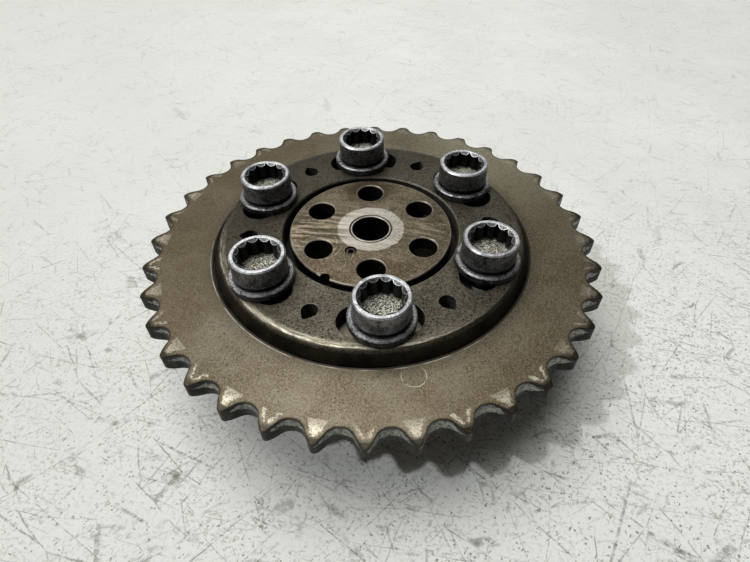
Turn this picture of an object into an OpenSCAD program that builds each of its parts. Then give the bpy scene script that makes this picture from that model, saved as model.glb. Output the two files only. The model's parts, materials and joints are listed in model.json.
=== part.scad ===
// Adjustable chain sprocket on a flanged hub
//
// A toothed ring and a raised, slotted carrier make one wheel.  Six socket
// bolts with captive washers reach through the slots into the hub flange, so
// the wheel can be turned a few degrees on the hub before it is clamped.
//
// Frame: the axis of the wheel is Z and the bolt heads look up.  Z = 0 is the
// rear face of the hub, the face that seats against the shaft.

/* [Wheel] */
// number of teeth
teeth = 36; // [34:1:48]
// pitch of the roller chain, 3/8 inch
chain_pitch = 9.525; // [9:0.005:12.7]
// diameter of the chain roller
roller_d = 6.35; // [5:0.05:7]
// how far the tooth tips stand above the roots
tooth_h = 3.9; // [3:0.1:4.2]
// thickness of the toothed ring
ring_t = 4.65; // [4:0.05:6]
// depth of the bevel on each side of the tooth tips
tooth_bevel = 0.75; // [0.4:0.05:1.2]
// how far the bevel reaches in from the tips
bevel_w = 2.8; // [1.5:0.1:3.5]
// angle the wheel stands at on the hub
wheel_phase = 3.5; // [0:0.5:8]

/* [Carrier] */
// how far the slotted face stands above the toothed ring
raise = 3.45; // [2.5:0.05:4.5]
// gap between the front disc and the carrier
opening_gap = 1.6; // [1.2:0.1:2.2]
// width of the rim around the flange
rim_w = 3.1; // [2.6:0.1:4.5]
// how much wider the slots are than the bolts
slot_play = 0.8; // [0.6:0.1:1.2]
// half the angle between the two end centres of a slot
slot_half = 9.5; // [6:0.5:11]

/* [Hub] */
// height from the rear face of the hub to the face of the toothed ring
hub_h = 25.7; // [23:0.1:32]
// radius of the front disc
disc_r = 19.7; // [19:0.1:21]
// thickness of the front disc
disc_t = 3.4; // [3:0.1:4]
// thickness of the hub flange
flange_t = 8; // [7:0.5:9.5]
// wall of the rear barrel around the pocket
barrel_wall = 3.35; // [2.5:0.05:5]
// radius of the six ports
port_r = 3.3; // [2.7:0.1:3.4]
// angle of the bolt circle
hub_phase = 4.2; // [0:0.1:8]

/* [Fasteners] */
// thread diameter of the six bolts
bolt_d = 8; // [7:0.5:8]
// radius of the bolt head
head_r = 6.1; // [5.8:0.1:6.4]
// height of the bolt head
head_h = 5.65; // [5:0.05:6.5]
// how far the captive washer stands out around the head
washer_lip = 1.2; // [0.9:0.1:1.5]
// thickness of the captive washer
washer_t = 1.9; // [1.5:0.1:2.4]

/* [Hidden] */
$fn = 96;
bolts = 6;
step_angle = 360 / bolts;
// how far a cut runs past the face it opens
cut = 1;
// chamfer on turned edges, and the lighter one on edges that are only broken
edge = 0.3;
broken = 0.15;
// clearance of the fits: pilot, ring seat and threads
fit_gap = 0.05;

// radii, from the axis outwards
sleeve_bore_r = 4.45;
sleeve_wall = 0.55;
sleeve_r = sleeve_bore_r + sleeve_wall;
port_edge = 5.5;
port_circle = disc_r - port_edge;
tube_r = port_circle - port_r - fit_gap;
pocket_r = port_circle + port_r + fit_gap;
groove_r = pocket_r + 2 * edge;
barrel_r = groove_r + barrel_wall;
opening_r = disc_r + opening_gap;
inner_web = 7.9;
bolt_circle = opening_r + inner_web;
outer_web = 5.75;
flange_r = bolt_circle + outer_web;
recess_r = flange_r + fit_gap;
joint_r = recess_r + rim_w;
thread_r = bolt_d / 2;
washer_r = head_r + washer_lip;

// heights of the main faces
face_z = hub_h;
ring_z = face_z - ring_t;
top_z = face_z + raise;
web_z = top_z - ring_t;
shim_t = 0.6;
shim_z = web_z - shim_t;
flange_z = shim_z - flange_t;
disc_z = top_z - disc_t;
head_z = top_z + washer_t;
head_top = head_z + head_h;

// tooth form
pitch_r = chain_pitch / (2 * sin(180 / teeth));
root_r = pitch_r - roller_d / 2;
tip_r = root_r + tooth_h;
tip_round = 0.9;
tip_steps = 5;
foot_in = 0.06;
knee_w = bevel_w * 0.4;
knee_drop = tooth_bevel * 0.3;
half_pitch = 180 / teeth;

// rear of the hub: the pilot that takes the shaft's nose, and a dowel hole beside it
pilot_r = 12;
pilot_depth = 4;
pocket_floor = 6;
dowel_r = 2;
dowel_circle = (pilot_r + barrel_r) / 2;
dowel_angle = 59;
dowel_depth = 5;

// timing pin, in the wall of the centre tube, and the notch beside it on the disc's rim
pin_r = 1.4;
pin_circle = tube_r - pin_r - edge;
pin_angle = -121;
pin_length = 8;
notch_r = 1.25;

// keyhole openings of the carrier
keyhole_r = 1.86;
keyhole_tip_r = 0.55;
keyhole_reach = 2.1;

// the carrier's rolled shoulder, as steps in from the joint and down from the top face
shoulder = [[1.55, 0.45], [1.8, 0.2], [2.4, 0.07], [3.9, 0]];

// bolt: twelve-point socket, undercut below the head and the thread's end
flutes = 12;
socket_r = head_r * 0.836;
rib_r = head_r * 0.705;
rib_side_r = head_r * 0.738;
rib_half = 8.5;
socket_depth = 4.6;
mouth_depth = 0.8;
mouth_r = head_r * 0.85;
mouth_floor_r = head_r * 0.66;
thread_out = 0.85;

// a point at radius r and angle a
function polar(r, a) = [r * cos(a), r * sin(a)];
function turned(p, a) = [p[0] * cos(a) - p[1] * sin(a), p[0] * sin(a) + p[1] * cos(a)];

// the centre of a roller seat and the centre of a tooth tip, tooth 0 at angle 0
seat_r = roller_d / 2;
seat_c = polar(pitch_r, half_pitch);
tip_c = [tip_r - tip_round, 0];

// the straight flank touches the tip arc and the seat arc
run = norm(seat_c - tip_c);
lean = atan2(seat_c[1] - tip_c[1], seat_c[0] - tip_c[0]);
flank = lean - acos((seat_r + tip_round) / run);

// half of a tooth: the tip arc from the crest to the flank, then the flank's foot just inside the seat
function half_tooth() = concat(
    [for (i = [0 : tip_steps]) tip_c + polar(tip_round, flank * i / tip_steps)],
    [seat_c - polar(seat_r - foot_in, flank)]
);

// the outline of the teeth before the roller seats are cut: each tooth is a half and its mirror image
function outline() =
    let (h = half_tooth(), n = len(h))
    [
        for (k = [0 : teeth - 1])
            for (i = [1 - n : n - 1])
                let (p = h[abs(i)], q = [p[0], i < 0 ? -p[1] : p[1]])
                turned(q, k * 2 * half_pitch)
    ];

// puts its children on the six positions of a circle
module around(r, phase) {
    for (i = [0 : bolts - 1])
        rotate([0, 0, phase + 90 + i * step_angle])
            translate([r, 0, 0])
                children();
}

// a round hole on the Z axis, cut from z0 to z1
module hole(r, z0, z1) {
    translate([0, 0, z0])
        cylinder(h = z1 - z0, r = r);
}

// a chamfer that opens a hole of radius r by w at the face z
module mouth(r, z, w) {
    translate([0, 0, z - w])
        cylinder(h = w + cut / 100, r1 = r, r2 = r + w);
}

// a ring-shaped slot that follows the bolt circle, centred on angle 0
module arc_slot(r, w, half, z0, z1) {
    rotate([0, 0, -half])
        rotate_extrude(angle = 2 * half)
            translate([r - w / 2, z0])
                square([w, z1 - z0]);
    for (s = [-half, half])
        rotate([0, 0, s])
            translate([r, 0, 0])
                hole(w / 2, z0, z1);
}

// a round hole with a small pointed lobe that looks away from the axis
module keyhole(z0, z1) {
    side = acos((keyhole_r - keyhole_tip_r) / keyhole_reach);
    inside = keyhole_r * 0.98;
    lobe = [
        polar(inside, side),
        [keyhole_reach, 0] + polar(keyhole_tip_r, side),
        [keyhole_reach + keyhole_tip_r, 0],
        [keyhole_reach, 0] + polar(keyhole_tip_r, -side),
        polar(inside, -side)
    ];
    hole(keyhole_r, z0, z1);
    translate([0, 0, z0])
        linear_extrude(z1 - z0)
            polygon(lobe);
}

// toothed ring: a plate with roller seats, bevelled on both sides of the teeth
module toothed_ring() {
    inner = joint_r - cut;
    outer = tip_r + cut / 5;
    flat_r = tip_r - bevel_w;
    knee_r = tip_r - knee_w;
    seat_ring = joint_r + fit_gap;
    color([0.42, 0.39, 0.33])
        rotate([0, 0, wheel_phase - half_pitch])
            difference() {
                intersection() {
                    translate([0, 0, ring_z])
                        linear_extrude(ring_t)
                            polygon(outline());
                    rotate_extrude()
                        polygon([
                            [inner, ring_z],
                            [flat_r, ring_z],
                            [knee_r, ring_z + knee_drop],
                            [outer, ring_z + tooth_bevel],
                            [outer, face_z - tooth_bevel],
                            [knee_r, face_z - knee_drop],
                            [flat_r, face_z],
                            [inner, face_z]
                        ]);
                }
                for (k = [0 : teeth - 1])
                    rotate([0, 0, (2 * k + 1) * half_pitch])
                        translate([pitch_r, 0, 0])
                            hole(seat_r, ring_z - cut, face_z + cut);
                hole(seat_ring, ring_z - cut, face_z + cut);
                mouth(seat_ring, face_z, edge * 1.5);
            }
}

// slotted carrier: a raised web with a rolled shoulder and a rim in the toothed ring
module slotted_carrier() {
    slot_w = bolt_d + slot_play;
    slot_circle = bolt_circle + slot_play / 4;
    color([0.33, 0.33, 0.32])
        difference() {
            rotate_extrude()
                polygon(concat(
                    [
                        [opening_r, web_z],
                        [recess_r - 2 * edge, web_z],
                        [recess_r, web_z - 2 * edge],
                        [recess_r, ring_z + 2 * edge],
                        [recess_r + 2 * edge, ring_z],
                        [joint_r, ring_z],
                        [joint_r, face_z - broken],
                        [joint_r - broken, face_z + broken]
                    ],
                    [for (step = shoulder) [joint_r - step[0], top_z - step[1]]],
                    [
                        [opening_r + edge, top_z],
                        [opening_r, top_z - edge]
                    ]
                ));
            for (i = [0 : bolts - 1])
                rotate([0, 0, wheel_phase + 90 + i * step_angle])
                    arc_slot(slot_circle, slot_w, slot_half, web_z - cut, top_z + cut);
            around(bolt_circle, wheel_phase + step_angle / 2)
                keyhole(web_z - cut, top_z + cut);
        }
}

// hub body: spigot, flange, barrel and a ring-shaped pocket around the centre tube
module hub_body() {
    spigot_r = disc_r - edge;
    color([0.46, 0.43, 0.37])
        difference() {
            rotate_extrude()
                polygon([
                    [sleeve_r, 0],
                    [barrel_r - edge * 3, 0],
                    [barrel_r, edge * 3],
                    [barrel_r, flange_z - cut],
                    [barrel_r + cut, flange_z],
                    [flange_r - 2 * edge, flange_z],
                    [flange_r, flange_z + 2 * edge],
                    [flange_r, shim_z - 2 * edge],
                    [flange_r - 2 * edge, shim_z],
                    [spigot_r, shim_z],
                    [spigot_r, disc_z],
                    [pocket_r, disc_z],
                    [pocket_r, disc_z - edge],
                    [groove_r, disc_z - edge],
                    [groove_r, disc_z - 3 * edge],
                    [pocket_r, disc_z - 3 * edge],
                    [pocket_r, pocket_floor],
                    [tube_r, pocket_floor],
                    [tube_r, disc_z],
                    [sleeve_r, disc_z]
                ]);
            hole(pilot_r, -cut, pilot_depth);
            around(bolt_circle, hub_phase)
                hole(thread_r, flange_z - cut, shim_z + cut);
            rotate([0, 0, pin_angle])
                translate([pin_circle, 0, 0])
                    hole(pin_r, top_z - pin_length - 2 * edge, disc_z + cut);
            rotate([0, 0, dowel_angle])
                translate([dowel_circle, 0, 0])
                    hole(dowel_r, -cut, dowel_depth);
        }
}

// front disc of the hub: six ports, the bore, the pin hole and a timing notch
module hub_disc() {
    color([0.55, 0.50, 0.42])
        difference() {
            rotate_extrude()
                polygon([
                    [sleeve_r, disc_z],
                    [disc_r - edge, disc_z],
                    [disc_r, disc_z + edge],
                    [disc_r, top_z - edge],
                    [disc_r - edge, top_z],
                    [sleeve_r + edge, top_z],
                    [sleeve_r, top_z - 1.5 * edge]
                ]);
            around(port_circle, 0) {
                hole(port_r, disc_z - cut, top_z + cut);
                mouth(port_r, top_z, edge * 0.85);
            }
            rotate([0, 0, pin_angle])
                translate([pin_circle, 0, 0])
                    hole(pin_r, disc_z - cut, top_z + cut);
            rotate([0, 0, pin_angle - 1])
                translate([disc_r - broken, 0, 0])
                    hole(notch_r, disc_z - cut, top_z + cut);
        }
}

// centre sleeve: a thin steel bush that runs through the disc and the hub
module centre_sleeve() {
    lip_z = top_z - fit_gap;
    color([0.62, 0.60, 0.56])
        rotate_extrude()
            polygon([
                [sleeve_bore_r, pilot_depth],
                [sleeve_r, pilot_depth],
                [sleeve_r, lip_z - broken],
                [sleeve_r - broken, lip_z],
                [sleeve_bore_r + broken, lip_z],
                [sleeve_bore_r, lip_z - broken]
            ]);
}

// timing pin: a hollow pin that locates the front disc on the hub
module timing_pin() {
    color([0.30, 0.28, 0.26])
        rotate([0, 0, pin_angle])
            translate([pin_circle, 0, top_z - edge - pin_length])
                rotate_extrude()
                    polygon([
                        [pin_r / 2, 0],
                        [pin_r - edge, 0],
                        [pin_r, edge],
                        [pin_r, pin_length - edge],
                        [pin_r - edge, pin_length],
                        [pin_r / 2, pin_length]
                    ]);
}

// friction shim: a thin ring between the flange and the carrier
module friction_shim() {
    color([0.56, 0.53, 0.46])
        difference() {
            hole(flange_r - 3 * edge, shim_z, web_z);
            hole(opening_r + edge, shim_z - cut, web_z + cut);
            around(bolt_circle, hub_phase)
                hole(thread_r + edge, shim_z - cut, web_z + cut);
        }
}

// outline of the twelve-point socket: a sharp flute and a blunt rib on each pitch
function socket_outline() =
    let (
        pitch = 360 / flutes,
        mid = pitch / 2,
        rib = [[socket_r, 0], [rib_side_r, mid - rib_half], [rib_r, mid], [rib_side_r, mid + rib_half]]
    )
    [for (k = [0 : flutes - 1]) for (p = rib) polar(p[0], k * pitch + p[1])];

// socket bolt: a round head with a twelve-point socket on a threaded shank
module bolt_at(i) {
    shank_z = flange_z - thread_out;
    shank_r = thread_r - fit_gap;
    neck_r = head_r - edge;
    color([0.36, 0.37, 0.38])
        rotate([0, 0, hub_phase + 90 + i * step_angle])
            translate([bolt_circle, 0, 0])
                difference() {
                    rotate_extrude()
                        polygon([
                            [0, shank_z],
                            [shank_r - thread_out, shank_z],
                            [shank_r, shank_z + thread_out],
                            [shank_r, head_z],
                            [neck_r, head_z],
                            [neck_r, head_z + edge],
                            [head_r, head_z + 2 * edge],
                            [head_r, head_top - edge],
                            [neck_r, head_top],
                            [0, head_top]
                        ]);
                    translate([0, 0, head_top - socket_depth])
                        linear_extrude(socket_depth + cut)
                            polygon(socket_outline());
                    translate([0, 0, head_top - mouth_depth])
                        cylinder(h = mouth_depth + cut / 100, r1 = mouth_floor_r, r2 = mouth_r);
                }
}

// captive washer: turned with its bolt, it bridges the slot under the head
module washer_at(i) {
    inner = thread_r + broken;
    color([0.40, 0.41, 0.42])
        rotate([0, 0, hub_phase + 90 + i * step_angle])
            translate([bolt_circle, 0, top_z])
                rotate_extrude()
                    polygon([
                        [inner, 0],
                        [washer_r - broken, 0],
                        [washer_r, broken],
                        [washer_r, washer_t - edge],
                        [washer_r - edge, washer_t],
                        [inner, washer_t]
                    ]);
}

module bolt_1() { bolt_at(0); }
module bolt_2() { bolt_at(1); }
module bolt_3() { bolt_at(2); }
module bolt_4() { bolt_at(3); }
module bolt_5() { bolt_at(4); }
module bolt_6() { bolt_at(5); }
module washer_1() { washer_at(0); }
module washer_2() { washer_at(1); }
module washer_3() { washer_at(2); }
module washer_4() { washer_at(3); }
module washer_5() { washer_at(4); }
module washer_6() { washer_at(5); }

toothed_ring();
slotted_carrier();
hub_body();
hub_disc();
centre_sleeve();
timing_pin();
friction_shim();
bolt_1();
bolt_2();
bolt_3();
bolt_4();
bolt_5();
bolt_6();
washer_1();
washer_2();
washer_3();
washer_4();
washer_5();
washer_6();
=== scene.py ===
# %% [markdown]
# # A chain sprocket that turns on its hub
#
# The real object is a dark, oily steel sprocket lying on a scratched white bench.
# Its solids come from the CAD model: a toothed ring, a raised slotted carrier, the
# hub with its front disc, and six socket bolts with captive washers.  This lesson
# puts them in front of a camera, lights them, and gives each one its own finish.

# %% Load the solids
import json
import math

import bpy
from mathutils import Matrix, Vector


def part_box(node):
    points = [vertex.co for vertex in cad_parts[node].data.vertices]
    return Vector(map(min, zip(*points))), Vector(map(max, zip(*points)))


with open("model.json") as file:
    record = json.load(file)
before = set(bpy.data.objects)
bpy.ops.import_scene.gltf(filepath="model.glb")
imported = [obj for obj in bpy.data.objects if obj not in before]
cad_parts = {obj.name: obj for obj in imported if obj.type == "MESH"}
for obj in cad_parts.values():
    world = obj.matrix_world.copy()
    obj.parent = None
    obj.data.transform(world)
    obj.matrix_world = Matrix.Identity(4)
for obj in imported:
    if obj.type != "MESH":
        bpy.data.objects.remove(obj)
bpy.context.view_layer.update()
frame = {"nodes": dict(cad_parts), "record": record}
MM = 0.001  # one millimetre, in the scene's metres

# %% [markdown]
# ## The camera
#
# A hand-held phone looks down at the sprocket from the front, about 130 mm away.
# Close cameras exaggerate depth, so the place of the camera matters more than its
# lens.  It is built from its own three axes, which keeps the slight roll.

# %% Camera
IMAGE_W = 750
LENS_PX = 522.34  # the focal length, in pixels of a picture IMAGE_W wide
SENSOR_W = 36
PITCH = math.radians(46.08)
ROLL = math.radians(-1.014)
EYE = Vector((0.83, -97.8, 112.1)) * MM
NEAREST, FARTHEST = 5 * MM, 20

forward = Vector((0, math.cos(PITCH), -math.sin(PITCH)))
level_right = Vector((1, 0, 0))
level_up = level_right.cross(forward)
right = level_right * math.cos(ROLL) + level_up * math.sin(ROLL)
up = level_up * math.cos(ROLL) - level_right * math.sin(ROLL)

camera_data = bpy.data.cameras.new("camera")
camera_data.sensor_width = SENSOR_W
camera_data.lens = SENSOR_W * LENS_PX / IMAGE_W
camera_data.clip_start = NEAREST
camera_data.clip_end = FARTHEST
camera = bpy.data.objects.new("camera", camera_data)
bpy.context.scene.collection.objects.link(camera)
camera.matrix_world = Matrix.Translation(EYE) @ Matrix((right, up, -forward)).transposed().to_4x4()
bpy.context.scene.camera = camera
print("lens, mm:", round(camera_data.lens, 2), "eye, mm:", [round(c / MM, 1) for c in EYE])

# %% [markdown]
# ## Light
#
# Most of the light falls from a broad panel overhead, a little to the left, which
# makes the soft shadow under the rim.  A small lamp on the left draws the crisp shadow
# of the teeth, and a broad weak one above it fades the far end of that shadow.  Flat
# steel also mirrors whatever is behind it, so a faint far wall brightens the disc.

# %% Lamps
DAYLIGHT = (0.93, 0.965, 1.0)
CEILING_WHITE = (1.0, 0.995, 0.975)
WALL_WHITE = (0.97, 0.985, 1.0)

scene = bpy.context.scene
scene.view_settings.view_transform = "Standard"


def direction(azimuth, elevation):
    """A unit vector from the object towards a lamp, angles in degrees."""
    turn, tilt = math.radians(azimuth), math.radians(elevation)
    level = math.cos(tilt)
    return Vector((math.cos(turn) * level, math.sin(turn) * level, math.sin(tilt)))


def hang(name, kind, energy, color, towards, distance=0):
    """Adds a lamp that shines back at the object, and returns its settings."""
    lamp = bpy.data.lights.new(name, kind)
    lamp.energy = energy
    lamp.color = color
    obj = bpy.data.objects.new(name, lamp)
    scene.collection.objects.link(obj)
    obj.location = towards * distance
    obj.rotation_mode = "QUATERNION"
    obj.rotation_quaternion = (-towards).to_track_quat("-Z", "Y")
    return lamp


def sun(name, azimuth, elevation, strength, angle, color):
    """A far lamp that looks angle degrees wide from the object."""
    lamp = hang(name, "SUN", strength, color, direction(azimuth, elevation))
    lamp.angle = math.radians(angle)


def panel(name, azimuth, elevation, distance, size, power, color):
    """A rectangle of light, its distance and its two sides in metres."""
    lamp = hang(name, "AREA", power, color, direction(azimuth, elevation), distance)
    lamp.shape = "RECTANGLE"
    lamp.size, lamp.size_y = size


sun("window", -163, 49.6, strength=0.97, angle=2.2, color=DAYLIGHT)
sun("skylight", -141.5, 67.2, strength=0.09, angle=14, color=DAYLIGHT)
panel("ceiling_panel", 141, 74.2, 1.0, size=(0.72, 0.69), power=8.05, color=CEILING_WHITE)
panel("far_wall", 90, 36, 1.0, size=(0.9, 0.5), power=1.0, color=WALL_WHITE)

# %% [markdown]
# The room has three strengths: bright where the camera sees it, weak as a light, and
# a little stronger for mirrored rays, which gives the edges their sheen.  No more than
# a little, because dark steel that mirrors a pale room looks like chrome.

# %% World
ROOM_COLOR = (0.93, 0.97, 1.0, 1)
ROOM_LIGHT = 0.045
ROOM_SEEN = 0.72
ROOM_MIRRORED = 0.06

world = bpy.data.worlds.new("room")
scene.world = world
world.use_nodes = True
tree = world.node_tree
rays = tree.nodes.new("ShaderNodeLightPath")


def for_rays(kind, strength):
    """A node that gives the room's light, raised to strength for one kind of ray."""
    raised = tree.nodes.new("ShaderNodeMath")
    raised.operation = "MULTIPLY_ADD"
    tree.links.new(rays.outputs[kind], raised.inputs[0])
    raised.inputs[1].default_value = strength - ROOM_LIGHT
    raised.inputs[2].default_value = ROOM_LIGHT
    return raised


mirrored = for_rays("Is Glossy Ray", ROOM_MIRRORED)
seen = for_rays("Is Camera Ray", ROOM_SEEN)
tree.links.new(mirrored.outputs[0], seen.inputs[2])
background = tree.nodes["Background"]
background.inputs["Color"].default_value = ROOM_COLOR
tree.links.new(seen.outputs[0], background.inputs["Strength"])
print("the room is seen at", ROOM_SEEN, "and lights at", ROOM_LIGHT)

# %% [markdown]
# ## Shader maths
#
# A finish is a stack of masks: edges that are worn, pits that are dark, an annulus
# that a bolt head has polished.  Wiring Math nodes one at a time hides that stack, so
# one small class wraps a socket, and ordinary Python arithmetic adds the nodes.

# %% Sockets that can be added and multiplied
class Value:
    """The output of a node.  Arithmetic on it adds Math nodes to its finish."""

    def __init__(self, finish, socket):
        self.finish, self.socket = finish, socket

    def math(self, operation, *others, first=None):
        """A Math node on this value and the others, or on first and this value."""
        terms = [self, *others] if first is None else [first, self]
        return self.finish.node("ShaderNodeMath", {"operation": operation}, dict(enumerate(terms)))

    def __add__(self, other):
        return self.math("ADD", other)

    def __radd__(self, other):
        return self.math("ADD", other)

    def __sub__(self, other):
        return self.math("SUBTRACT", other)

    def __rsub__(self, other):
        return self.math("SUBTRACT", first=other)

    def __mul__(self, other):
        return self.math("MULTIPLY", other)

    def __truediv__(self, other):
        return self.math("DIVIDE", other)

    def __pow__(self, other):
        return self.math("POWER", other)

    def __abs__(self):
        return self.math("ABSOLUTE")

    def capped(self):
        """The value, but never more than 1."""
        return self.math("MINIMUM", 1)

    def rise(self, low, high):
        """0 below low, 1 above high, smooth between; low may be the larger."""
        return self.finish.node(
            "ShaderNodeMapRange",
            {"interpolation_type": "SMOOTHSTEP"},
            {"Value": self, "From Min": low, "From Max": high},
        )

    def band(self, low, high, soft):
        """1 between low and high, with edges that fade over soft."""
        return self.rise(low - soft, low) * self.rise(high + soft, high)


def length(a, b):
    """The long side of the right triangle whose short sides are a and b."""
    return (a * a + b * b) ** 0.5


print("a value can:", ", ".join(name for name in vars(Value) if name[0] != "_"))

# %% [markdown]
# A finish is a material with its tree of nodes.  One call adds a node, sets it up and
# links it to the values before it.  Colours go on like coats of paint, each over the
# last one and only as far as its mask lets it.

# %% Finishes that are built by calls
class Finish:
    """A material that is built by calling node()."""

    def __init__(self, name):
        self.material = bpy.data.materials.new(name)
        self.material.use_nodes = True
        self.tree = self.material.node_tree
        self.tree.nodes.clear()

    def node(self, kind, settings=None, values=None, out=0):
        """Adds a node: its settings first, then the values or links of its sockets.

        It gives back the output called out, or the whole node if out is None.
        """
        made = self.tree.nodes.new(kind)
        for key, value in (settings or {}).items():
            setattr(made, key, value)
        for key, value in (values or {}).items():
            socket = self.socket(made, key)
            if isinstance(value, Value):
                self.tree.links.new(value.socket, socket)
            else:
                socket.default_value = value
        if out is None:
            return made
        return Value(self, self.socket(made, out, inputs=False))

    @staticmethod
    def socket(made, key, inputs=True):
        """A socket by its number, its identifier or its name."""
        sockets = made.inputs if inputs else made.outputs
        if isinstance(key, int):
            return sockets[key]
        found = [s for s in sockets if s.identifier == key] or [s for s in sockets if s.name == key]
        return found[0]

    def mix(self, share, a, b):
        """Colour a where share is 0, colour b where it is 1."""
        a, b = [(*c, 1) if isinstance(c, tuple) else c for c in (a, b)]
        return self.node(
            "ShaderNodeMix",
            {"data_type": "RGBA"},
            {"Factor_Float": share, "A_Color": a, "B_Color": b},
            out="Result_Color",
        )

    def paint(self, ground, *layers):
        """Lays colours over a ground in turn, each where and as far as its mask says."""
        for mask, color in layers:
            ground = self.mix(mask, ground, color)
        return ground


print("a finish can:", ", ".join(name for name in vars(Finish) if name[0] != "_"))

# %% [markdown]
# ## Where a point is
#
# Every solid keeps its place in its mesh, so the object coordinates are the same
# millimetres as the drawing.  The radius from the axis and the height are all that
# is needed to say "the shoulder" or "the tip of a tooth", and folding the angle into
# equal sectors gives every tooth and every bolt its own small set of coordinates.

# %% Coordinates, in millimetres
DOT_EDGE = (0.40, 0.24)  # where a dot starts and where it is full, in parts of a cell
DOT_SOFT = 0.02


class Place:
    """Object coordinates of a finish, in millimetres, and what follows from them."""

    def __init__(self, finish):
        self.finish = finish
        coordinates = finish.node("ShaderNodeTexCoord", out=None)
        raw = Value(finish, coordinates.outputs["Object"])
        self.point = finish.node(
            "ShaderNodeVectorMath", {"operation": "SCALE"}, {0: raw, "Scale": 1 / MM}
        )
        split = finish.node("ShaderNodeSeparateXYZ", values={0: self.point}, out=None)
        self.x, self.y, self.z = [Value(finish, s) for s in split.outputs]
        self.r = length(self.x, self.y)
        self.angle = self.y.math("ARCTAN2", self.x)
        normal = Value(finish, coordinates.outputs["Normal"])
        self.facing_up = finish.node("ShaderNodeSeparateXYZ", values={0: normal}, out="Z")

    def sector(self, count, start):
        """The number of the sector a point is in, and its turn from the middle, -0.5 to 0.5."""
        turns = self.angle * (count / math.tau) + (count - start * count / 360)
        nearest = turns.math("ROUND")
        return nearest.math("FLOORED_MODULO", count), turns - nearest

    def draw(self, number, seed):
        """A random share, 0 to 1, that is the same all over one sector."""
        return self.finish.node(
            "ShaderNodeTexWhiteNoise", {"noise_dimensions": "1D"}, {"W": number + seed}, out="Value"
        )

    def from_axis(self, x, y):
        """The distance from the upright axis through x, y."""
        return length(self.x - x, self.y - y)

    def from_nearest_axis(self, count, start, circle):
        """The distance from the nearest of count even axes on a circle, one at start degrees."""
        turn = self.sector(count, start)[1] * (math.tau / count)
        return length(self.r * turn.math("COSINE") - circle, self.r * turn.math("SINE"))

    def circle(self, x, y, radius, width):
        """A thin ring drawn round the point x, y."""
        return abs(self.from_axis(x, y) - radius).rise(width, width * 0.3)

    def stretched(self, scale, turn=(0, 0, 0), point=None):
        """A point after turning it by degrees and scaling each axis."""
        turned = self.finish.node(
            "ShaderNodeMapping",
            {},
            {"Vector": point or self.point, "Rotation": [math.radians(t) for t in turn]},
        )
        return self.finish.node(
            "ShaderNodeVectorMath", {"operation": "MULTIPLY"}, {0: turned, 1: scale}
        )

    def shifted(self, by, point=None):
        """A point moved by a value along every axis, which bends the lines drawn on it."""
        return self.finish.node(
            "ShaderNodeVectorMath", {"operation": "ADD"}, {0: point or self.point, 1: by}
        )

    def noise(self, size, detail=4, rough=0.6, point=None):
        """Soft noise, 0 to 1, whose blobs are about size millimetres."""
        return self.finish.node(
            "ShaderNodeTexNoise",
            {},
            {"Vector": point or self.point, "Scale": 1 / size, "Detail": detail, "Roughness": rough},
        )

    def specks(self, size, share, point=None):
        """Small dots, size millimetres apart, on about that share of the cells."""
        cell = self.finish.node(
            "ShaderNodeTexVoronoi",
            {"feature": "F1"},
            {"Vector": point or self.point, "Scale": 1 / size},
            out=None,
        )
        distance = Value(self.finish, cell.outputs["Distance"])
        color = Value(self.finish, cell.outputs["Color"])
        pick = self.finish.node("ShaderNodeSeparateColor", values={0: color})
        return distance.rise(*DOT_EDGE) * pick.rise(share + DOT_SOFT, share - DOT_SOFT)


print("a place knows:", ", ".join(name for name in vars(Place) if name[0] != "_"))

# %% [markdown]
# ## Steel
#
# All the solids are steel, so one recipe serves them: a colour, a grain, an oil
# film, bright worn edges and painted shade in the corners.  The edges come from an
# ambient occlusion node that looks inwards, the corner shade from one that looks
# outwards, and a Bevel node rounds the edges off in the light.

# %% Edges for wear and painted light, and corners for painted shade
OCCLUSION_SAMPLES = 6


def occlusion(finish, reach, **settings):
    """1 in the open, less where something is within reach millimetres."""
    return finish.node("ShaderNodeAmbientOcclusion", settings, {"Distance": reach * MM}, out="AO")


def edge_wear_and_light_mask(finish, reach, samples=OCCLUSION_SAMPLES):
    """1 on outward edges, fading over reach millimetres: the mask for worn edges, for painted shade on
    the teeth's edges and for painted highlights on the ribs' lips.
    """
    return (1 - occlusion(finish, reach, inside=True, only_local=True, samples=samples)) * 2


def corner_shade_mask(finish, reach):
    """1 in inward corners and gaps, fading over reach millimetres: the mask for painted shade."""
    return 1 - occlusion(finish, reach, samples=OCCLUSION_SAMPLES)


print("occlusion takes", OCCLUSION_SAMPLES, "samples")

# %% The common recipe
METAL = 0.9
COAT_ROUGHNESS = 0.3
BEVEL_SAMPLES = 4
finishes = {}


def steel(finish, color, rough, grain, bump, round_off=0.12, metallic=METAL, coat=None, sheen=0.5):
    """The shader; bump is a strength and a depth, and round_off a radius, in millimetres."""
    strength, depth = bump
    rounded = finish.node("ShaderNodeBevel", {"samples": BEVEL_SAMPLES}, {"Radius": round_off * MM})
    relief = finish.node(
        "ShaderNodeBump",
        {},
        {"Strength": strength, "Distance": depth * MM, "Height": grain, "Normal": rounded},
    )
    values = {"Base Color": color, "Roughness": rough, "Metallic": metallic, "Normal": relief}
    values["Specular IOR Level"] = sheen
    if coat is not None:
        values.update({"Coat Weight": coat, "Coat Roughness": COAT_ROUGHNESS})
    shader = finish.node("ShaderNodeBsdfPrincipled", {}, values)
    finish.node("ShaderNodeOutputMaterial", {}, {"Surface": shader}, out=None)
    return finish.material


def keep(slot, material):
    """Files a finish under its slot and says how large it is."""
    finishes[slot] = material
    print(slot, "has", len(material.node_tree.nodes), "nodes")


print("steel is metallic by", METAL, "and its edges take", BEVEL_SAMPLES, "samples")

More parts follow.
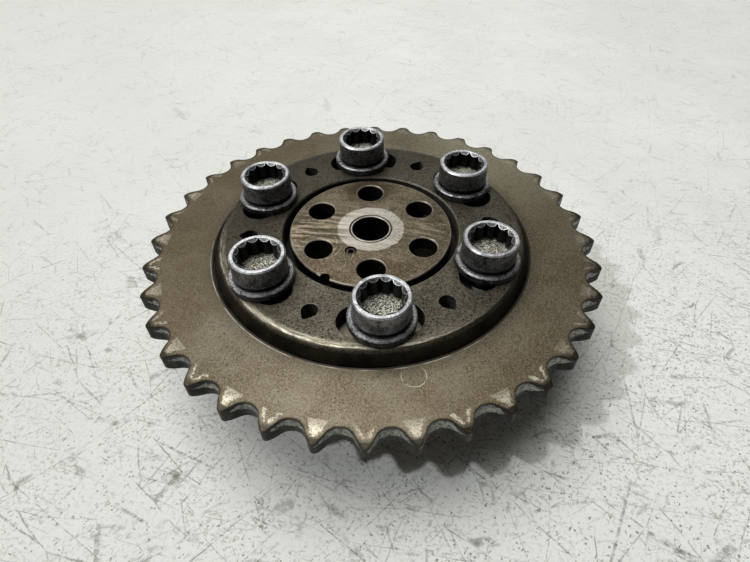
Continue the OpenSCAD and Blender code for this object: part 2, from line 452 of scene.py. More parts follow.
# %% [markdown]
# ## The toothed ring
#
# Old oil has baked on as a thin olive-brown film.  The chain keeps the teeth clean
# where its plates rub: because the number of teeth is even, the same teeth always
# meet the inner plates, and so the wear changes from tooth to tooth.  One pattern
# fills a wedge on the tooth, the other only leaves its two outer lines.

# %% Wear that the chain leaves
TEETH = 36
TOOTH_TURN = 8.5  # degrees from the x axis to the middle of a tooth
WEDGE_R = 50.4  # the radius where the wedges are widest
WEDGE_HALF = 2.2  # half their width there
WEDGE_TAPER = 0.52  # how much of it they lose with each millimetre outwards
WEDGE_LEAST = 0.6
ROLLER_DEPTH = 1.35  # from the ring's face to the middle of the rollers' patches


def low_high(node):
    """The lowest and highest corner of a node, in millimetres."""
    return [[c / MM for c in corner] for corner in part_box(node)]


def along_rim(at, across):
    """Millimetres along the rim from the middle of a sector."""
    return across * math.tau / TEETH * at.r


def chain_wear(at):
    """The bright wedges on the bevels of the teeth."""
    number, across = at.sector(TEETH, TOOTH_TURN)
    ragged = (at.noise(0.8, 5, 0.75) - 0.5) * 3.0
    side = abs(along_rim(at, across)) + ragged
    wedge = (WEDGE_HALF - (at.r - WEDGE_R) * WEDGE_TAPER).math("MAXIMUM", WEDGE_LEAST)
    inside = wedge - side
    filled = inside.rise(-0.1, 0.2) * at.r.band(50.7, 53.7, 0.4)
    outline = inside.band(0.0, 0.25, 0.25) * at.r.band(51.3, 53.3, 0.5)
    mottle = at.noise(0.34, 4, 0.8).rise(0.42, 0.52)
    deep = at.r.rise(51.0, 52.4)
    odd = number.math("PINGPONG", 1)
    patch = filled * (0.5 + deep * 0.5) * (0.15 + mottle * 0.85) * odd
    patch = patch + outline * (0.3 + mottle * 0.7) * (1 - odd)
    faint = (at.x * 0.6 + at.y).rise(5, 35) * 0.65
    return (patch * (0.3 + at.draw(number, 7) * 0.7) * (1 - faint)).capped()


def roller_polish_and_reflection(at, wall):
    """The lens in the round seat between two teeth: the rollers' polish with a painted reflection."""
    number, across = at.sector(TEETH, TOOTH_TURN + 180 / TEETH)
    away = along_rim(at, across) + 0.5
    # painted reflection: the lens grows taller towards the front right
    wide = (at.x * 0.7 - at.y * 0.5).rise(5, 35)
    height = 0.8 + wide * 0.9 - away * away * 0.1 + (at.noise(1.0, 5, 0.75) - 0.5) * 2.4
    middle = ring_face - ROLLER_DEPTH - at.draw(number, 3) * 0.5
    return (abs(at.z - middle) - height).rise(0.3, -0.1) * wall


ring_face = low_high("toothed_ring")[1][2]
print("ring face, mm:", round(ring_face, 2))

# %% [markdown]
# The film is laid on from the broad to the fine: clouds and browner sides first, then
# grain, flecks and dried drops with painted shade on the right and painted glints, and
# at last the oily crust and a painted highlight on the seam where the carrier begins.

# %% Film on the ring's faces
RING_DARK = (0.141, 0.113, 0.072)
RING_LIGHT = (0.190, 0.161, 0.110)
RING_BROWN = (0.150, 0.106, 0.058)
RING_GRAIN = (0.36, 0.327, 0.252)
RING_PITS = (0.035, 0.029, 0.019)
# where drops have dried to small rings: x, y and radius, in millimetres
DROPS = (
    (-44.2, 16.2, 1.6),
    (-5.3, -40.8, 1.3),
    (41.9, -9.2, 0.9),
    (44.5, -9.3, 1.0),
    (44.3, -13.4, 1.3),
    (40.5, -14.7, 1.0),
    (41.9, -15.3, 0.6),
    (39.0, -23.0, 1.1),
    (49.0, 6.5, 0.9),
    (33.1, -33.1, 0.9),
    (29.8, -31.8, 1.0),
    (30.7, -37.9, 0.8),
    (26.7, -39.5, 0.9),
    (19.2, -39.1, 0.7),
)
DROP_LINE = 0.22
ROUND_SCRATCH = (8.1, -40.5, 2.5, 0.12)  # x, y, radius and line width


def ring_film(finish, at, cloud, patchy, grain, flecks):
    """The baked oil on both faces with its stains; painted shade on the right, painted glints, and a
    painted highlight on the seam round the carrier.
    """
    left = (at.x * -0.8 + at.y * 0.3).rise(12, 38)
    right = (at.x - at.y * 0.5).rise(2, 42)
    near = (at.x * -0.45 - at.y * 0.9).rise(8, 30)
    far_right = at.y.rise(0, 34) * at.x.rise(6, 30)
    shade = at.x.rise(0, -36)
    glint_specks = at.specks(0.42, 0.06) * right
    dashes = at.noise(0.5, 3, 0.7, at.stretched((0.42, 1.5, 1), (0, 0, 18))).rise(0.64, 0.69)
    stains = sum(at.circle(x, y, radius, DROP_LINE) for x, y, radius in DROPS)
    stains = stains.capped() * at.noise(0.9, 3).rise(0.3, 0.55)
    scratch = at.circle(*ROUND_SCRATCH) * at.noise(1.6, 3).rise(0.42, 0.56)
    inner_oil = at.r.rise(42.5, 38.8) * (0.35 + cloud.rise(0.3, 0.6) * 0.4)
    crust = at.r.rise(43.5, 39.4) * patchy.rise(0.35, 0.6) * at.specks(0.5, 0.6)
    groove = at.r.band(38.0, 38.95, 0.05)
    seam_highlight = at.r.band(39.0, 39.12, 0.07) + at.r.band(38.25, 38.4, 0.06)
    seam_highlight = seam_highlight * (0.08 + near * 0.62) * at.noise(5, 3).rise(0.35, 0.6)
    return finish.paint(
        finish.mix(cloud.rise(0.36, 0.66), RING_DARK, RING_LIGHT),
        (patchy.rise(0.52, 0.75) * 0.35, RING_BROWN),
        (left * 0.45, (0.165, 0.118, 0.068)),
        (far_right * 0.9, (0.29, 0.27, 0.18)),
        (grain.rise(0.50, 0.60) * (0.40 - left * 0.12), RING_GRAIN),
        (grain.rise(0.48, 0.37) * (0.46 - left * 0.15), RING_PITS),
        (flecks * 0.85, RING_PITS),
        (dashes * 0.8, RING_PITS),
        # painted shade: the right of the ring is painted darker
        (right * 0.14, (0.105, 0.072, 0.036)),
        (shade * 0.25, (0.03, 0.024, 0.015)),
        # painted glints: small bright specks towards the right
        (glint_specks * 0.5, (0.46, 0.36, 0.19)),
        (stains * 0.5, (0.05, 0.037, 0.022)),
        (scratch * 0.7, (0.60, 0.56, 0.46)),
        (inner_oil * 0.75, (0.075, 0.062, 0.045)),
        (crust * (0.35 + right * 0.6), (0.016, 0.014, 0.012)),
        (groove * 0.85, (0.026, 0.022, 0.017)),
        # painted highlight: thin bright lines along the seam, strongest near the camera
        (seam_highlight, (0.50, 0.47, 0.39)),
        # painted shade in the inward corners and gaps
        (corner_shade_mask(finish, 2.2) * 0.7, (0.03, 0.027, 0.022)),
    )


print("dried drops:", len(DROPS))

# %% [markdown]
# The sides of the teeth are painted much darker than the faces, as shade, and the
# lens in each seat is the rollers' polish with a painted reflection.  Faces and seats
# are painted apart.  One mask joins them, made from the direction that the surface
# faces, and it also keeps the chain's wedges off the sides.

# %% Seats between the teeth
# painted shade: the sides of the teeth are painted much darker than the faces
SEAT_DARK = (0.008, 0.008, 0.007)
SEAT_LIGHT = (0.040, 0.039, 0.034)
# dark for specks of dirt, and for the painted shade along the upper edges
SEAT_DIRT_AND_SHADE = (0.014, 0.013, 0.012)
ROLLER_BRIGHT = (0.42, 0.42, 0.37)


def ring_seats(finish, at, patchy, wall):
    """The sides of the teeth: painted dark as shade, with the lens of roller polish and painted
    reflection.
    """
    polish_and_reflection = roller_polish_and_reflection(at, wall) * (0.25 + at.noise(0.7, 5, 0.8).rise(0.45, 0.54) * 0.7)
    dots = at.specks(0.45, 0.3)
    upper_edge_shade = at.z.rise(ring_face - 0.7, ring_face - 0.4)
    return finish.paint(
        # painted shade: the dark sides of the teeth
        finish.mix(patchy.rise(0.4, 0.66), SEAT_DARK, SEAT_LIGHT),
        # the lens: the rollers' polish and a painted reflection
        (polish_and_reflection, ROLLER_BRIGHT),
        (dots * 0.8, SEAT_DIRT_AND_SHADE),
        # painted shade along the upper edge of each seat
        (upper_edge_shade * 0.85, SEAT_DIRT_AND_SHADE),
    )


print("seats:", TEETH, "with patches", ROLLER_DEPTH, "mm below the face")

# %% Toothed ring
CHAIN_BRIGHT = (0.68, 0.63, 0.51)


def ring_steel():
    finish = Finish("ring_steel")
    at = Place(finish)
    cloud = at.noise(16, 4, 0.6)
    patchy = at.noise(3.2, 5, 0.7)
    grain = at.noise(0.42, 4, 0.85)
    flecks = at.specks(0.5, 0.18, at.stretched((1.7, 0.8, 1), (0, 0, 25))) + at.specks(0.42, 0.18)
    flecks = flecks.capped() * at.noise(6, 3).rise(0.30, 0.55)
    wall = abs(at.facing_up).rise(0.75, 0.35)
    teeth = at.r.rise(48, 50)
    seats = wall * teeth
    tip = at.r.rise(52.9, 54.6) * (0.65 + patchy.rise(0.4, 0.6) * 0.3)
    edge_shade = edge_wear_and_light_mask(finish, 0.6).rise(0.2, 0.75) * (1 - wall) * teeth
    film = finish.paint(
        ring_film(finish, at, cloud, patchy, grain, flecks),
        (tip, (0.040, 0.036, 0.025)),
        (chain_wear(at) * (1 - wall), CHAIN_BRIGHT),
        # painted shade along the outer edges of the teeth's faces
        (edge_shade * 0.9, (0.018, 0.016, 0.012)),
    )
    color = finish.mix(seats, film, ring_seats(finish, at, patchy, wall))
    rough = 0.5 + (grain - 0.5) * 0.25 + flecks * 0.12 + edge_shade * 0.2 - seats * 0.1
    coat = cloud.rise(0.35, 0.75) * (1 - wall) * 0.3
    metallic = METAL - wall * 0.6
    return steel(finish, color, rough, grain, (0.3, 0.05), metallic=metallic, coat=coat, sheen=0.12)


keep("ring_steel", ring_steel())

# %% [markdown]
# ## The slotted carrier
#
# The raised part is darker than the ring and has a sandy skin of fine black grit.
# Its rounded shoulder is rubbed, and a painted sheen with a painted highlight along
# its crest makes it brightest where it faces the camera; the sloping wall below the
# shoulder is almost black with oil.  The walls of the slots and holes are painted
# black as shade, and a painted highlight runs along the right of the rim round the disc.

# %% Slotted carrier
CARRIER_DARK = (0.066, 0.059, 0.043)
CARRIER_LIGHT = (0.108, 0.096, 0.070)
# dark for pits, and for the painted shade in corners
CARRIER_PITS_AND_SHADE = (0.014, 0.013, 0.011)
# bright steel for worn edges, and for the painted highlight on the inner rim
CARRIER_BRIGHT = (0.42, 0.39, 0.32)


def carrier_steel():
    finish = Finish("carrier_steel")
    at = Place(finish)
    cloud = at.noise(8, 4)
    grain = at.noise(0.42, 4, 0.85)
    pits = (at.specks(0.55, 0.3) + at.specks(0.9, 0.14)).capped()
    top = at.facing_up.rise(0.6, 0.95)
    inside = at.facing_up.rise(0.8, 0.3) * at.r.rise(36.5, 36.0)
    wall = at.r.rise(36.75, 36.95)
    left = at.x.rise(-14, -30)
    near = (at.x * -0.57 + at.y * -0.82).rise(14, 33)
    far = (at.y * 0.9 - at.x * 0.4).rise(0, 30)
    soot = at.specks(0.5, 0.35) * at.x.rise(0, 25)
    along = finish.node("ShaderNodeCombineXYZ", values={0: at.angle * 9, 1: at.r * 2.4, 2: at.z * 0.4})
    brushed = at.noise(1, 5, 0.75, along)
    ragged = at.r + (at.noise(1.1, 5, 0.8) - 0.5) * 1.2
    shoulder_wear_and_sheen = ragged.band(35.3, 36.2, 0.6) * (0.2 + brushed.rise(0.42, 0.58) * 0.8)
    crest_highlight = ragged.band(36.0, 36.15, 0.14) * brushed.rise(0.45, 0.55)
    lip = at.r.band(21.35, 21.6, 0.08) * top * at.x.rise(2, 14)
    wear = (edge_wear_and_light_mask(finish, 0.4) * at.noise(0.9, 4).rise(0.45, 0.62)).rise(0.3, 0.9)
    oil = finish.mix(cloud.rise(0.35, 0.65), (0.012, 0.010, 0.007), (0.052, 0.042, 0.028))
    color = finish.paint(
        finish.mix(cloud.rise(0.32, 0.68), CARRIER_DARK, CARRIER_LIGHT),
        (grain.rise(0.51, 0.60) * 0.55, (0.27, 0.245, 0.18)),
        (grain.rise(0.48, 0.37) * 0.8, CARRIER_PITS_AND_SHADE),
        (pits * 0.8, CARRIER_PITS_AND_SHADE),
        (soot * 0.7, (0.016, 0.015, 0.013)),
        (left * 0.55, (0.030, 0.025, 0.017)),
        (far * 0.5 + at.x.rise(8, 28) * 0.15, (0.034, 0.030, 0.020)),
        # painted sheen on the rubbed shoulder, brightest where it faces the camera
        (shoulder_wear_and_sheen * (0.06 + near * 0.74), (0.36, 0.325, 0.25)),
        # painted highlight along the crest of the shoulder
        (crest_highlight * (0.25 + near * 0.35), (0.60, 0.56, 0.47)),
        (wall * 0.9, oil),
        # painted shade in the inward corners and gaps
        (corner_shade_mask(finish, 2.2) * 0.75, CARRIER_PITS_AND_SHADE),
        # painted shade: the walls inside the slots and holes are almost black
        (inside * 0.92, (0.010, 0.009, 0.008)),
        # painted highlight along the right of the rim round the disc
        (lip * 0.6, CARRIER_BRIGHT),
        (wear * top * (1 - wall) * 0.4, CARRIER_BRIGHT),
    )
    rough = 0.5 - shoulder_wear_and_sheen * 0.1 + (grain - 0.5) * 0.3 + pits * 0.15 - wall * 0.1 + inside * 0.4
    return steel(finish, color, rough, grain, (0.6, 0.08), metallic=METAL - inside * METAL)


keep("carrier_steel", carrier_steel())

# %% [markdown]
# ## The hub and its front disc
#
# The disc was ground flat, so its streaks all run one way.  A bolt head or washer
# has burnished a pale annulus round the sleeve, and a brown stain has spread from
# the far port.  The hub behind it is plain turned steel, and its front, seen through
# the slots and ports, is painted black as shade.

# %% Hub body
def hub_steel():
    finish = Finish("hub_steel")
    at = Place(finish)
    turned = at.noise(0.5, 3, 0.5, at.stretched((0.05, 0.05, 1)))
    cloud = at.noise(8, 4)
    front_shade = at.z.rise(18, 21)
    wear = edge_wear_and_light_mask(finish, 0.5).rise(0.15, 0.8)
    color = finish.paint(
        finish.mix(cloud.rise(0.3, 0.7), (0.15, 0.127, 0.09), (0.25, 0.218, 0.16)),
        (turned.rise(0.4, 0.7) * 0.3, (0.40, 0.37, 0.30)),
        # painted shade in the inward corners
        (corner_shade_mask(finish, 3) * 0.8, (0.02, 0.018, 0.015)),
        (wear * 0.6, (0.5, 0.46, 0.38)),
        # painted shade: the front of the hub, under the carrier, is almost black
        (front_shade * 0.96, (0.012, 0.011, 0.009)),
    )
    rough = 0.42 + (cloud - 0.5) * 0.2 + front_shade * 0.4
    return steel(finish, color, rough, turned, (0.3, 0.04), metallic=METAL - front_shade * 0.7)


keep("hub_steel", hub_steel())

# %% Burnished annulus
ANNULUS = (8.35, 7.85)  # from the axis, in millimetres: where it ends and where it is full


def burnished_steel(finish, at, grain, streaks):
    """The pale steel of the annulus, with painted shade that makes it greyer towards its right."""
    right = at.x.rise(-2, 7)
    dots = at.specks(0.45, 0.4) * at.x.rise(-1, 6)
    return finish.paint(
        finish.mix(streaks.rise(0.36, 0.62), (0.50, 0.455, 0.375), (0.70, 0.655, 0.57)),
        # painted shade: greyer and darker towards the right
        (right * 0.28, (0.42, 0.40, 0.345)),
        (grain.rise(0.50, 0.38) * (0.35 + right * 0.4), (0.17, 0.155, 0.12)),
        (dots * 0.7, (0.16, 0.15, 0.12)),
    )


print("the annulus ends at, mm:", ANNULUS[0])

# %% Front disc
PORTS = 6
PORT_TURN = 90  # degrees from the x axis to a port
PORT_R = 3.3
PORT_INSET = 5.5  # from the disc's rim to the middle of a port
STAIN = (0, 15)  # the middle of the brown stain
# arcs that something round has scraped: x, y, radius and line width
SCRAPES = ((-12.4, -5.3, 4.4, 0.14), (-12.4, -5.3, 5.6, 0.12), (-11.0, -8.0, 7.0, 0.10))
disc_r = low_high("hub_disc")[1][0]


def disc_steel():
    finish = Finish("disc_steel")
    at = Place(finish)
    cloud = at.noise(6, 4)
    grain = at.noise(0.42, 5, 0.8)
    spots = (at.specks(0.6, 0.22) + at.specks(1.1, 0.1)).capped()
    dots = at.specks(0.5, 0.4) * at.x.rise(-2, 10)
    bend = at.x * at.x * 0.004
    streaks = at.noise(1.0, 5, 0.7, at.shifted(bend, at.stretched((0.06, 0.95, 1), (0, 0, 14))))
    left_streaks = at.x.rise(-2, -12) * at.y.band(-5, 5, 3)
    right_streaks = at.x.rise(7, 12) * at.y.band(-4, 3, 2)
    strong = 0.1 + (left_streaks + right_streaks * 0.45).capped() * 0.9
    ragged = at.r + (at.noise(2.0, 4, 0.6) - 0.5) * 1.0
    burnished = ragged.rise(*ANNULUS) * (1 - left_streaks * streaks.rise(0.54, 0.44) * 0.9)
    wall = abs(at.facing_up).rise(0.8, 0.4)
    rust = at.y.rise(-5, -13) * at.noise(1.6, 5, 0.8).rise(0.42, 0.56)
    stain = (at.from_axis(*STAIN) + (cloud - 0.5) * 6).rise(8, 3.5)
    marks = sum(at.circle(*arc) for arc in SCRAPES) * (at.x - at.y).rise(-12, -3)
    marks = marks * at.noise(1.5, 3).rise(0.42, 0.58) * at.r.rise(8.6, 9.2)
    from_port = at.from_nearest_axis(PORTS, PORT_TURN, disc_r - PORT_INSET)
    rims = from_port.band(PORT_R + 0.12, PORT_R + 0.25, 0.1)
    rims = (rims + at.r.band(disc_r - 0.32, disc_r - 0.15, 0.1)).capped() * (1 - wall)
    color = finish.paint(
        finish.mix(cloud.rise(0.38, 0.62), (0.105, 0.082, 0.051), (0.190, 0.155, 0.104)),
        (at.x.rise(4, -16) * 0.36, (0.10, 0.082, 0.055)),
        (at.x.rise(2, 14) * 0.45, (0.080, 0.066, 0.043)),
        (rust * 0.55, (0.105, 0.066, 0.040)),
        (grain.rise(0.50, 0.62) * 0.5, (0.40, 0.34, 0.25)),
        (grain.rise(0.48, 0.36) * 0.65, (0.035, 0.027, 0.018)),
        (spots * 0.6, (0.035, 0.028, 0.018)),
        (dots * 0.7, (0.028, 0.022, 0.014)),
        (streaks.rise(0.49, 0.60) * strong * 0.75, (0.47, 0.395, 0.285)),
        (streaks.rise(0.51, 0.39) * strong * 0.8, (0.058, 0.044, 0.027)),
        (burnished * 0.9, burnished_steel(finish, at, grain, streaks)),
        (stain * 0.7 * (1 - burnished), (0.055, 0.04, 0.022)),
        (marks.capped() * 0.6, (0.60, 0.54, 0.44)),
        # painted shade: the walls of the rim and the ports are almost black
        (wall, (0.008, 0.007, 0.006)),
        # painted shade in the inward corners and gaps
        (corner_shade_mask(finish, 1.6) * 0.5, (0.014, 0.012, 0.010)),
        (rims * (0.3 + at.noise(1.5, 4).rise(0.4, 0.6) * 0.4), (0.60, 0.55, 0.46)),
    )
    rough = 0.5 - burnished * 0.1 + (grain - 0.5) * 0.25
    return steel(finish, color, rough, grain, (0.35, 0.05), metallic=METAL - wall * METAL, sheen=0.1)


keep("disc_steel", disc_steel())

# %% [markdown]
# The sleeve, the timing pin and the shim are small and show only an edge or an end,
# so they share one simple finish in three colours.

# %% Small parts of the hub
EDGE_GAIN = 1.8


def plain_steel(name, dark, light, rough, bump):
    """Two colours in clouds, brighter at worn upper edges, with painted shade that blackens the sides
    and darkens the corners.
    """
    finish = Finish(name)
    at = Place(finish)
    cloud = at.noise(3, 4)
    grain = at.noise(0.3, 4, 0.7)
    top = at.facing_up.rise(0.5, 0.9)
    corner_shade = corner_shade_mask(finish, 1.5).rise(0.2, 0.75)
    wear = edge_wear_and_light_mask(finish, 0.35).rise(0.15, 0.8) * top
    bright = tuple(min(1, c * EDGE_GAIN) for c in light)
    color = finish.paint(
        finish.mix(cloud.rise(0.3, 0.7), dark, light),
        # painted shade: the sides are almost black
        ((1 - top) * 0.96, (0.012, 0.011, 0.01)),
        # painted shade in the corners
        (corner_shade * 0.85, (0.012, 0.011, 0.009)),
        (wear * 0.7, bright),
    )
    return steel(finish, color, rough + (grain - 0.5) * 0.2, grain, bump, round_off=0.08)


# the darker and the lighter colour, the roughness, and the bump's strength and depth
PLAIN = {
    "sleeve_steel": ((0.34, 0.31, 0.25), (0.5, 0.46, 0.39), 0.35, (0.15, 0.03)),
    "pin_steel": ((0.025, 0.022, 0.018), (0.06, 0.055, 0.045), 0.5, (0.3, 0.04)),
    "shim_steel": ((0.36, 0.32, 0.25), (0.62, 0.57, 0.47), 0.7, (0.6, 0.08)),
}
for name, look in PLAIN.items():
    keep(name, plain_steel(name, *look))

# %% [markdown]
# ## Bolts and washers
#
# The bolts are grey, with a rim that every tool has scraped bright, ribs whose thin
# lips carry a painted highlight, and sand-coloured grit packed on the floor of the
# socket.  All of it is drawn round the axis of whichever bolt the point belongs to.

# %% Coordinates round one bolt
BOLTS = 6
first_low, first_high = low_high("bolt_1")
bolt_top = first_high[2]
bolt_middle = Vector((first_low[0] + first_high[0], first_low[1] + first_high[1])) / 2
bolt_turn = math.degrees(math.atan2(bolt_middle.y, bolt_middle.x))
washer_top = low_high("washer_1")[1][2]


def from_bolt(at):
    """The distance from the axis of the nearest bolt."""
    return at.from_nearest_axis(BOLTS, bolt_turn, bolt_middle.length)


print("bolt circle, mm:", round(bolt_middle.length, 2), "first bolt at", round(bolt_turn, 1))

# %% Outside of a bolt head
# black for grooves and dark grain, and for the painted shade on the ribs
BLACK_FOR_GROOVES_AND_SHADE = (0.012, 0.012, 0.012)


def bolt_side(finish, at, cloud, grain, pits, depth):
    """The outside of a head: mottled grey, darker downwards, with painted shade on the far bolts and
    on the flanks.
    """
    far = (at.y + at.x * 0.3).rise(-14, 8)
    flank_shade = abs(at.x).rise(12, 22) * at.y.rise(6, -2)
    groove = depth.band(4.9, 6.0, 0.4)
    return finish.paint(
        finish.mix(cloud.rise(0.38, 0.60), (0.12, 0.123, 0.130), (0.50, 0.505, 0.525)),
        (depth.rise(1.4, 4.8) * 0.45, (0.028, 0.030, 0.038)),
        # painted shade: the far bolts and the bolts on the flanks are darker
        (far * 0.68, (0.028, 0.030, 0.034)),
        (flank_shade * 0.52, (0.024, 0.025, 0.026)),
        (grain.rise(0.51, 0.60) * 0.5, (0.55, 0.55, 0.57)),
        (grain.rise(0.47, 0.38) * 0.55, (0.024, 0.024, 0.028)),
        (pits * 0.6, (0.022, 0.022, 0.024)),
        (groove * 0.85, BLACK_FOR_GROOVES_AND_SHADE),
    )


def bolt_rim(finish, cloud, grain, pits):
    """The rim round the socket, which every tool scrapes."""
    return finish.paint(
        finish.mix(cloud.rise(0.36, 0.60), (0.40, 0.405, 0.415), (0.76, 0.765, 0.77)),
        (grain.rise(0.48, 0.37) * 0.6, (0.07, 0.07, 0.07)),
        (pits * 0.6, (0.05, 0.05, 0.05)),
    )


print("bolt heads reach up to, mm:", round(bolt_top, 2))

# %% [markdown]
# The grit is sand-coloured noise under black and white grains.  Inside the socket
# everything but the grit is painted almost black as shade, and only the thin lips of
# the ribs carry a painted highlight.  They are found as worn edges are, with more
# samples, because they are so narrow.

# %% Bolts
# black for the painted shade in corners
CORNER_SHADE = (0.014, 0.014, 0.014)
FINE_SAMPLES = 12  # for the thin lips of the ribs


def packed_sand(finish, at, grain):
    """The grit on the floor of a socket."""
    black = at.specks(0.55, 0.45)
    white = at.specks(0.6, 0.25, at.stretched((1.1, 0.9, 1), (20, 10, 40)))
    return finish.paint(
        finish.mix(grain.rise(0.46, 0.54), (0.065, 0.063, 0.049), (0.66, 0.645, 0.55)),
        (black * 0.9, (0.018, 0.017, 0.013)),
        (white * 0.85, (0.9, 0.89, 0.8)),
    )


def bolt_steel():
    finish = Finish("bolt_steel")
    at = Place(finish)
    out = from_bolt(at)
    cloud = at.noise(2.4, 5, 0.7)
    grain = at.noise(0.4, 5, 0.8)
    pits = (at.specks(0.6, 0.2) + at.specks(0.9, 0.12)).capped()
    up = at.facing_up
    depth = bolt_top - at.z
    rim = up.rise(0.35, 0.8) * depth.rise(1.3, 0.9)
    hollow = out.rise(5.16, 5.08)
    wall = hollow * up.rise(0.3, 0.1) * depth.rise(0.35, 0.9)
    bottom = hollow * depth.band(4.4, 4.9, 0.2)
    rib_tops = out.rise(5.15, 5.05) * up.band(0.2, 0.93, 0.05) * depth.rise(1.3, 1.0)
    rib_shade = finish.mix(grain.rise(0.46, 0.60), BLACK_FOR_GROOVES_AND_SHADE, (0.13, 0.135, 0.125))
    rib_lip_highlights = rib_tops * edge_wear_and_light_mask(finish, 0.32, FINE_SAMPLES).rise(0.2, 0.5)
    wear = edge_wear_and_light_mask(finish, 0.5) * at.noise(0.8, 4).rise(0.3, 0.55)
    wear = wear.rise(0.2, 0.8) * (1 - hollow) * depth.rise(4.8, 3.5)
    color = finish.paint(
        bolt_side(finish, at, cloud, grain, pits, depth),
        (rim, bolt_rim(finish, cloud, grain, pits)),
        # painted shade: the walls of the socket are almost black
        (wall * 0.97, (0.009, 0.009, 0.010)),
        # painted shade on the tops of the ribs
        (rib_tops * 0.9, rib_shade),
        # painted highlights on the thin lips of the ribs
        (rib_lip_highlights * 0.9, (0.90, 0.90, 0.88)),
        (wear * 0.9, (0.74, 0.74, 0.75)),
        # painted shade in the inward corners
        (corner_shade_mask(finish, 1.6) * 0.6, CORNER_SHADE),
        (bottom, packed_sand(finish, at, grain)),
    )
    rough = 0.42 + (grain - 0.5) * 0.3 + (cloud - 0.5) * 0.25 + bottom * 0.3
    return steel(finish, color, rough, grain, (0.4, 0.05))


keep("bolt_steel", bolt_steel())

# %% [markdown]
# The washers are darker than the bolts.  Only a band near their rim is scraped, in
# broken patches, so its edge is made ragged with noise.

# %% Captive washers
def washer_steel():
    finish = Finish("washer_steel")
    at = Place(finish)
    cloud = at.noise(1.8, 5, 0.75)
    grain = at.noise(0.42, 5, 0.8)
    ragged = from_bolt(at) + (at.noise(1.2, 4, 0.7) - 0.5) * 0.7
    lip = ragged.band(6.5, 7.4, 0.25) * at.facing_up.rise(0.2, 0.6)
    lip = lip * (washer_top - at.z).rise(0.6, 0.35)
    color = finish.paint(
        finish.mix(cloud.rise(0.38, 0.62), (0.045, 0.046, 0.050), (0.17, 0.173, 0.183)),
        (lip * cloud.rise(0.32, 0.60) * 0.85, (0.45, 0.45, 0.44)),
        (grain.rise(0.50, 0.38) * 0.75, BLACK_FOR_GROOVES_AND_SHADE),
        (grain.rise(0.52, 0.60) * lip * 0.55, (0.9, 0.9, 0.88)),
        # painted shade in the inward corners
        (corner_shade_mask(finish, 1.5) * 0.7, CORNER_SHADE),
    )
    rough = 0.45 + (grain - 0.5) * 0.3 + (cloud - 0.5) * 0.2
    return steel(finish, color, rough, grain, (0.4, 0.05))


keep("washer_steel", washer_steel())

# %% Hand the finishes out
slots = {part["node"]: part["material_slot"] for part in frame["record"]["subparts"]}
for name, solid in frame["nodes"].items():
    solid.data.materials.clear()
    solid.data.materials.append(finishes[slots[name]])
print("finishes:", len(finishes), "on", len(slots), "nodes")

# %% [markdown]
# ## The bench
#
# The bench is a white board that has seen years of tools: fine scratches in several
# directions, small dark specks and grey smears.  It is one large plane.  The hairlines
# are edges of cells that are stretched into lines, and the long scratches are listed
# one by one.

# %% Long scratches
# where each scratch starts and ends on the bench, in millimetres, and how dark it is
SCRATCHES = (
    ((-72, -98), (-28, -58), 0.75),
    ((-68, -104), (-55, -72), 0.45),
    ((-56, -99), (-46, -66), 0.4),
    ((44, -63), (39, -96), 0.85),
    ((45.5, -70), (41.5, -97), 0.6),
    ((54, -96), (77, -74), 0.8),
    ((79, -60), (98, -43), 0.75),
    ((62, -78), (96, -35), 0.45),
    ((28, -55), (33, -88), 0.4),
    ((-92, -62), (-70, -44), 0.5),
    ((60, -20), (84, 20), 0.4),
    ((-40, -70), (-38, -98), 0.4),
    ((-34, -62), (-8, -84), 0.35),
    ((30, -52), (85, -62), 0.3),
    ((-60, 62), (-48, 74), 0.35),
)
SCRATCH_W = 0.2
SCRATCH_COLOR = (0.16, 0.15, 0.13)


def line(at, start, end, wobble):
    """A mask along the straight line from start to end, fading at both ends."""
    start, end = Vector(start), Vector(end)
    way = (end - start).normalized()
    dx, dy = at.x - start.x, at.y - start.y
    along = dx * way.x + dy * way.y
    across = abs(dx * -way.y + dy * way.x + wobble)
    return across.rise(SCRATCH_W, SCRATCH_W * 0.25) * along.band(1, (end - start).length - 1, 3)


print("long scratches:", len(SCRATCHES))

# %% Hairlines
# families of hairlines: how far each is turned, how far apart they are, and how dark
HAIRS = (
    (35, 7, 0.6),
    (-49, 9, 0.55),
    (62, 6, 0.5),
    (-72, 8, 0.45),
    (8, 10, 0.5),
    (18, 3, 0.35),
    (-25, 4, 0.35),
)
HAIR_STRETCH = 6
HAIR_W, HAIR_CORE = 0.13, 0.04
HAIR_COLOR = (0.10, 0.095, 0.075)


def hairlines(finish, at, turn, wide, bent):
    """A mask of hairlines, wide millimetres apart, that come and go in patches."""
    cells = at.stretched((1 / (wide * HAIR_STRETCH), 1 / wide, 0), (0, 0, turn), bent)
    from_edge = finish.node(
        "ShaderNodeTexVoronoi",
        {"feature": "DISTANCE_TO_EDGE"},
        {"Vector": cells, "Scale": 1},
        out="Distance",
    )
    patch = at.noise(wide * 1.5, 3, 0.7, at.stretched((0.5, 1, 0), (0, 0, turn))).rise(0.50, 0.60)
    return from_edge.rise(HAIR_W / wide, HAIR_CORE / wide) * patch


print("families of hairlines:", len(HAIRS))

# %% [markdown]
# Under the scratches the board has smears, dots and long grains like pepper.  Such
# small marks blur with distance, so they are strong near the camera and weak far off.

# %% Bare board
BOARD_DARK = (0.765, 0.765, 0.72)
BOARD_LIGHT = (0.82, 0.82, 0.775)
# long grains of pepper: their size, the scale that stretches them, and their turn
PEPPER = ((0.55, 0.35, 40), (0.5, 0.4, -55))


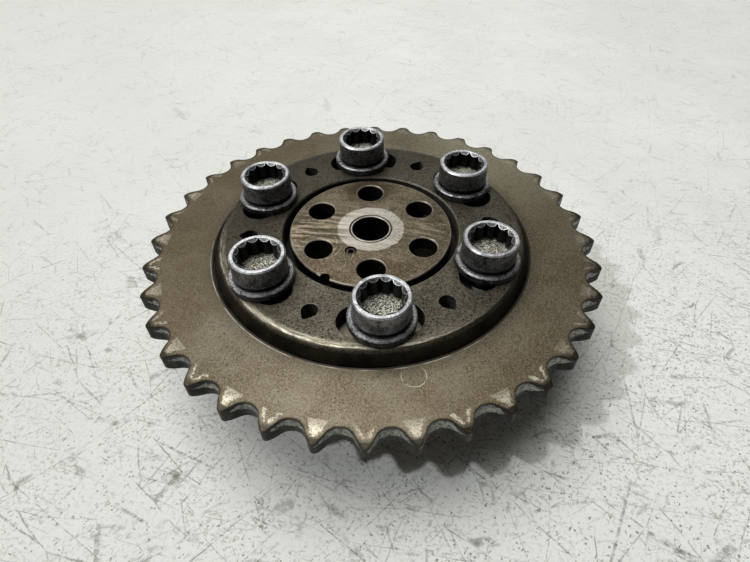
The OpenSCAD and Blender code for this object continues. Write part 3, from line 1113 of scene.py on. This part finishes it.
def board(finish, at, mottle, near):
    """The bare board with its smears and dots, which show most near the camera."""
    fuzz = at.noise(0.9, 2, 0.7).rise(0.53, 0.61)
    grit = at.noise(14, 3).rise(0.38, 0.62)
    dots = at.specks(0.75, 0.05) + at.specks(1.1, 0.012, at.stretched((1, 1.3, 1), (0, 0, 50)))
    pepper = sum(
        at.noise(size, 1, 0.5, at.stretched((1, scale, 1), (0, 0, turn))).rise(0.64, 0.72)
        for size, scale, turn in PEPPER
    )
    pepper = pepper.capped() * at.noise(4, 4, 0.7).rise(0.44, 0.58)
    smear = at.noise(60, 5).rise(0.35, 0.7)
    spots = at.noise(3, 5, 0.75).rise(0.5, 0.7)
    left = at.x.rise(20, -140)
    return finish.paint(
        finish.mix(smear, BOARD_DARK, BOARD_LIGHT),
        (spots * 0.25, (0.66, 0.655, 0.61)),
        (mottle.rise(0.5, 0.8) * 0.25 * near, (0.62, 0.61, 0.565)),
        (fuzz * (0.15 + grit * 0.35) * (0.25 + near * 0.75), (0.30, 0.29, 0.25)),
        (dots.capped() * (0.1 + near * near * 0.7), (0.12, 0.115, 0.095)),
        (pepper * (0.05 + near * 0.8), (0.16, 0.155, 0.12)),
        (left * 0.5, (0.66, 0.66, 0.615)),
    )


print("grains of pepper in", len(PEPPER), "directions")

# %% Bench
BENCH_HALF = 2.0  # in metres


def bench():
    finish = Finish("bench")
    at = Place(finish)
    mottle = at.noise(7, 6, 0.75)
    near = at.y.rise(85, -30)
    wobble = (at.noise(9, 3) - 0.5) * 1.4
    broken = at.noise(1.6, 4, 0.8).rise(0.36, 0.56)
    bent = at.shifted((at.noise(6, 2) - 0.5) * 0.7)
    fading = 0.4 + near * 0.6
    hairs = [
        (hairlines(finish, at, turn, wide, bent) * broken * amount * fading, HAIR_COLOR)
        for turn, wide, amount in HAIRS
    ]
    scratches = [
        (line(at, start, end, wobble) * broken * amount, SCRATCH_COLOR)
        for start, end, amount in SCRATCHES
    ]
    crumbs = at.noise(2.2, 3, 0.6, at.stretched((1, 0.6, 1), (0, 0, 30))).rise(0.735, 0.76)
    color = finish.paint(
        board(finish, at, mottle, near), *hairs, *scratches, (crumbs * 0.8, (0.17, 0.14, 0.10))
    )
    values = {"Base Color": color, "Roughness": 0.55 + mottle * 0.2, "Specular IOR Level": 0.3}
    shader = finish.node("ShaderNodeBsdfPrincipled", {}, values)
    finish.node("ShaderNodeOutputMaterial", {}, {"Surface": shader}, out=None)
    return finish.material


corners = [(x * BENCH_HALF, y * BENCH_HALF, 0) for x, y in ((-1, -1), (1, -1), (1, 1), (-1, 1))]
mesh = bpy.data.meshes.new("bench")
mesh.from_pydata(corners, [], [(0, 1, 2, 3)])
floor = bpy.data.objects.new("bench", mesh)
scene.collection.objects.link(floor)
floor.data.materials.append(bench())
print("bench laid")
